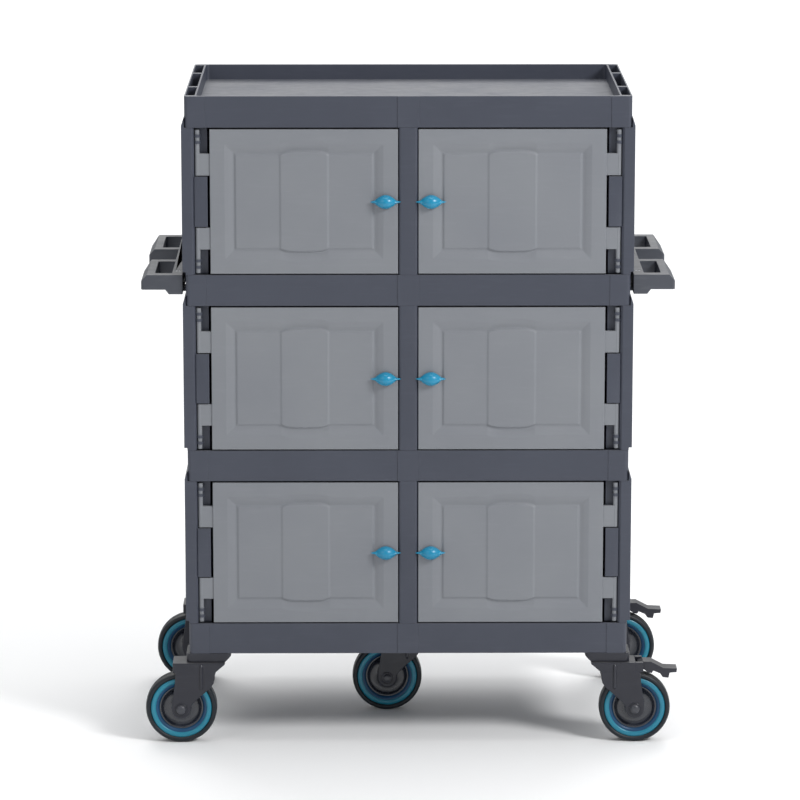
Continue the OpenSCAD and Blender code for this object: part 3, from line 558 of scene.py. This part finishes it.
RIB_HEIGHTS = (98, 102, 141, 143.5)  # its tip, then the bottom and the head of its full width, then its top


def add_slab(bm, outline, y0, y1):
    """A plate cut to an outline of (x, z) in millimetres, from y0 to y1."""
    face = bm.faces.new([bm.verts.new((x * MM, y0 * MM, z * MM)) for x, z in outline])
    pulled = bmesh.ops.extrude_face_region(bm, geom=[face])["geom"]
    bmesh.ops.translate(bm, verts=[g for g in pulled if isinstance(g, bmesh.types.BMVert)],
                        vec=(0, (y1 - y0) * MM, 0))


def to_castor(bm, swivel, side):
    """Moves what was drawn round a swivel's axis, with the wheel towards +X, to a castor's own place."""
    move = Matrix.Translation((swivel[0], swivel[1], 0)) @ Matrix.Diagonal((side, 1, 1, 1))
    bmesh.ops.transform(bm, matrix=move, verts=bm.verts)
    bmesh.ops.recalc_face_normals(bm, faces=bm.faces)


def make_fork(name, swivel, side):
    fork = bmesh.new()
    foot = [tuple(AXLE + Vector((-math.cos(a), -math.sin(a))) * FOOT_R)
            for a in (math.radians(10 + 16 * i) for i in range(11))]
    for end in (-1, 1):
        y0, y1 = sorted((end * CHEEK_IN, end * CHEEK_OUT))
        add_slab(fork, CHEEK_LEFT + foot + CHEEK_RIGHT, y0, y1)
        boss = sorted((end * (CHEEK_OUT - 0.5) * MM, end * BOSS_OUT * MM))
        add_rod(fork, (AXLE.x * MM, 0, AXLE.y * MM), BOSS_R * MM, *boss, "Y", 48)
    if name in BRAKED:
        behind = CROWN_SIDE[:3] + [(SLOT_START, CROWN_LOW), (SLOT_START, CROWN_TOP)]
        add_slab(fork, behind, -CHEEK_OUT, CHEEK_OUT)
        beside = [(SLOT_START - 1, CROWN_LOW), *CROWN_SIDE[3:], (SLOT_START - 1, CROWN_TOP)]
        for y0, y1 in ((-CHEEK_OUT, -SLOT_HALF), (SLOT_HALF, CHEEK_OUT)):
            add_slab(fork, beside, y0, y1)
    else:
        add_slab(fork, CROWN_SIDE, -CHEEK_OUT, CHEEK_OUT)
    to_castor(fork, swivel, side)
    node, body = f"fork_{name}", f"castor_{name}"
    finish_piece(fork, node + "_cheeks", body, CASTOR, [node], 1.6 * MM, 3)
    ribs = bmesh.new()
    tip, bottom, head, top = (z * MM for z in RIB_HEIGHTS)
    for end in (-1, 1):
        axis = (0, end * RIB_Y * MM, 0)
        add_rod(ribs, axis, RIB_R * MM, bottom, head, "Z", 24)
        add_rod(ribs, axis, RIB_TIP_R * MM, tip, bottom, "Z", 24, RIB_R * MM)
        add_rod(ribs, axis, RIB_R * MM, head, top, "Z", 24, RIB_END_R * MM)
    to_castor(ribs, swivel, side)
    finish_piece(ribs, node + "_ribs", body, CASTOR, [node], smooth=50)


def make_castor(name):
    wheel, fork = f"wheel_{name}", f"castor_{name}"
    centre = middle_of(f"tyre_{name}")
    swivel = SWIVELS[name]
    for outline, part, node, body, material, slot in (
        (TYRE_HALF, "tyre_tread", "tyre", wheel, TYRE, "tyre_rubber"),
        (RING_HALF, "ring_bright", "ring", wheel, RING, "ring_plastic"),
        # the ring's inner slope, in the darker copy of its cyan plastic: painted shade
        (LIP_HALF, "ring_lip_painted_shade", "ring", wheel, RING_PAINTED_SHADE, "ring_plastic"),
        (HUB_HALF, "hub_dish", "hub", wheel, HUB, "castor_plastic"),
        (BOLT_HALF, "axle_bolt", "axle", fork, BOLT, "steel"),
    ):
        turned = bmesh.new()
        add_turned(turned, centre, both_sides(outline))
        finish_piece(turned, f"{part}_{name}", body, material, [f"{node}_{name}"], smooth=40)
    make_fork(name, swivel, 1 if centre.x > swivel[0] else -1)
    if name in BRAKED:
        pedal = f"brake_pedal_{name}"
        finish_piece(cad_copy(pedal), pedal + "_lever", pedal, CASTOR, [pedal], 1 * MM, 3)


# ---------- everything, and the floor ----------

def finish_steel():
    """The steel fasteners keep their CAD shape."""
    for name, node in frame["nodes"].items():
        if name.startswith(("handle_screws", "castor_block_screws", "kingpins", "latch_cam_")):
            node.data.materials.clear()
            node.data.materials.append(STEEL)


def lay_floor():
    bm = bmesh.new()
    bmesh.ops.create_grid(bm, x_segments=1, y_segments=1, size=60)
    mesh = bpy.data.meshes.new("studio_floor")
    bm.to_mesh(mesh)
    bm.free()
    floor = bpy.data.objects.new("studio_floor", mesh)
    bpy.context.collection.objects.link(floor)
    paint = bpy.data.materials.new("Studio floor, white")
    paint.use_nodes = True
    surface = paint.node_tree.nodes["Principled BSDF"]
    surface.inputs["Base Color"].default_value = (0.92, 0.92, 0.92, 1)
    surface.inputs["Roughness"].default_value = 0.8
    surface.inputs["Specular IOR Level"].default_value = 0.1
    mesh.materials.append(paint)


stand_camera()
light_studio()
lay_floor()
make_body()
for row in ROWS:
    for side in SIDES:
        make_door(row, side)
        make_latch(row, side)
for name in CASTORS:
    make_castor(name)
finish_steel()
